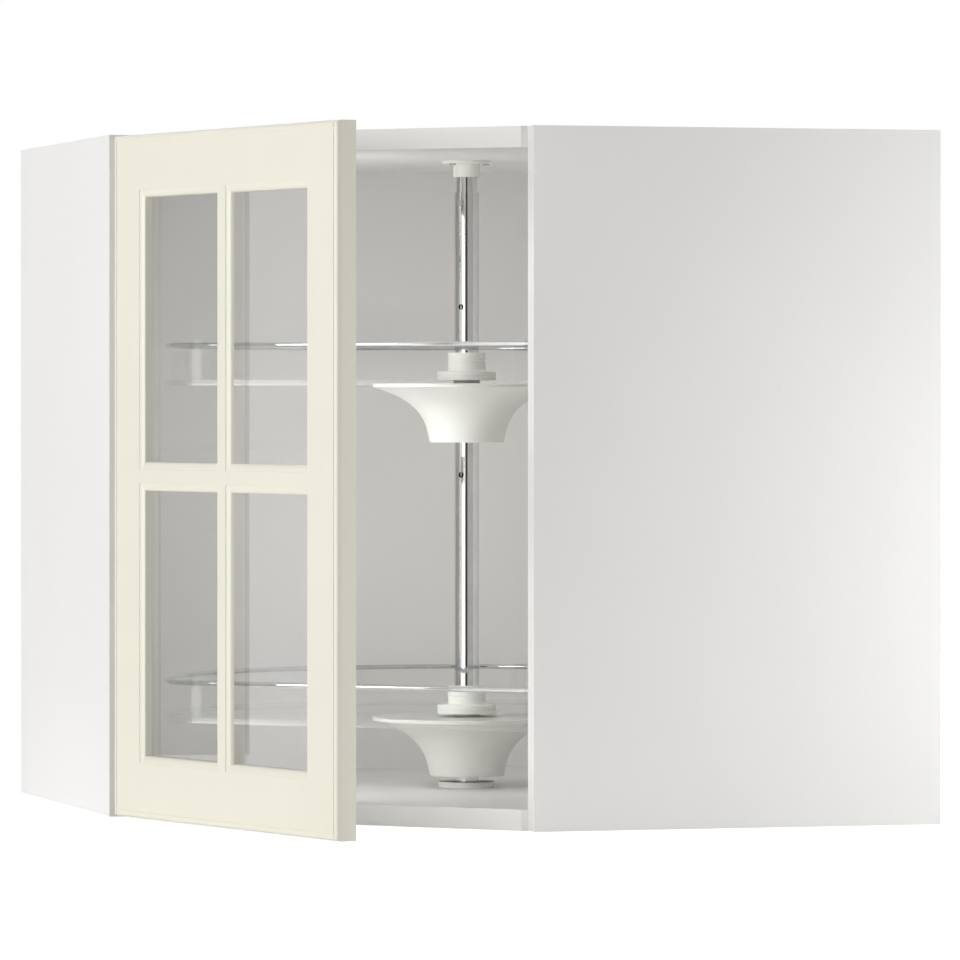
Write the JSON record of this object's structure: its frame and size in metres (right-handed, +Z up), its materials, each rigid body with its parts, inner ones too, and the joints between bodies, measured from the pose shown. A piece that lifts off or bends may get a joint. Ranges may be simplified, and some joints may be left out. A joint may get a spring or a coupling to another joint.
{
  "type": "corner carousel wall cabinet",
  "caption": "White diagonal corner wall cabinet with a cream glazed door, standing partly open, and revolving clear trays with wire rails on a chrome post.",
  "frame": {"origin": "on the axis of the carousel post, at the underside of the bottom panel", "axes": "+X towards the right-hand wall, +Y towards the rear wall, +Z up; the diagonal front faces between -X and -Y"},
  "size_m": [0.667, 0.76, 0.6],
  "materials": {
    "coated_panel": "white melamine on chipboard",
    "back_panel": "white coated board",
    "raw_wood": "bare board and beech",
    "steel": "zinc and nickel plated",
    "chrome": "polished chrome plating",
    "white_plastic": "satin white moulding",
    "clear_plastic": "clear moulded plastic",
    "cream_paint": "satin cream lacquer on wood",
    "glass": "clear float glass",
    "bumper": "soft clear buffer"
  },
  "bodies": {
    "cabinet": {"left_side_panel": "coated_panel", "right_side_panel": "coated_panel", "top_panel": "coated_panel", "bottom_panel": "coated_panel", "rear_back_panel": "back_panel", "right_back_panel": "back_panel", "rear_corner_post": "raw_wood", "rear_hanging_rail": "steel", "right_hanging_rail": "steel", "hanging_rail_screws": "steel", "panel_dowels": "raw_wood", "cam_bolts": "steel", "cam_discs": "steel", "upper_hinge_arm": "steel", "lower_hinge_arm": "steel", "hinge_arm_screws": "steel", "hinge_arm_pins": "steel", "ceiling_flange": "white_plastic", "floor_flange": "white_plastic", "flange_screws": "steel", "outer_tube": "chrome", "inner_tube": "chrome", "upper_stop_ring": "white_plastic", "lower_stop_ring": "white_plastic", "stop_pins": "steel"},
    "lock_button": {"tube_lock_button": "steel"},
    "upper_tray_unit": {"upper_tray": "clear_plastic", "upper_tray_rail": "chrome", "upper_rail_posts": "clear_plastic", "upper_hub": "white_plastic", "upper_collar": "white_plastic"},
    "lower_tray_unit": {"lower_tray": "clear_plastic", "lower_tray_rail": "chrome", "lower_rail_posts": "clear_plastic", "lower_hub": "white_plastic", "lower_collar": "white_plastic"},
    "hinge_links": {"upper_hinge_link": "steel", "lower_hinge_link": "steel"},
    "door": {"hinge_stile": "cream_paint", "free_stile": "cream_paint", "door_top_rail": "cream_paint", "door_bottom_rail": "cream_paint", "vertical_glazing_bar": "cream_paint", "horizontal_glazing_bars": "cream_paint", "glass_pane": "glass", "glazing_beads": "cream_paint", "upper_hinge_cup": "steel", "lower_hinge_cup": "steel", "hinge_cup_screws": "steel", "hinge_cup_pins": "steel", "door_bumpers": "bumper"}
  },
  "joints": [
    {"name": "link_swing", "type": "hinge", "parent": "cabinet", "child": "hinge_links", "pos_m": [-0.31653, -0.02282, 0.3], "axis": [0, 0, -1], "range_deg": [-3.03, 7.97]},
    {"name": "door_swing", "type": "hinge", "parent": "hinge_links", "child": "door", "pos_m": [-0.32676, -0.06529, 0.3], "axis": [0, 0, -1], "range_deg": [-27.27, 71.73]},
    {"name": "upper_tray_spin", "type": "hinge", "parent": "cabinet", "child": "upper_tray_unit", "pos_m": [0, 0, 0.3844], "axis": [0, 0, 1], "continuous": true},
    {"name": "lower_tray_spin", "type": "hinge", "parent": "cabinet", "child": "lower_tray_unit", "pos_m": [0, 0, 0.0844], "axis": [0, 0, 1], "continuous": true},
    {"name": "lock_button_press", "type": "slide", "parent": "cabinet", "child": "lock_button", "axis": [0.6947, 0.7193, 0], "range_m": [0, 0.003], "stiffness_N_per_m": 500, "springref_m": -0.002}
  ],
  "couplings": [
    {"joint": "link_swing", "follows": "door_swing", "ratio": 0.11111}
  ]
}
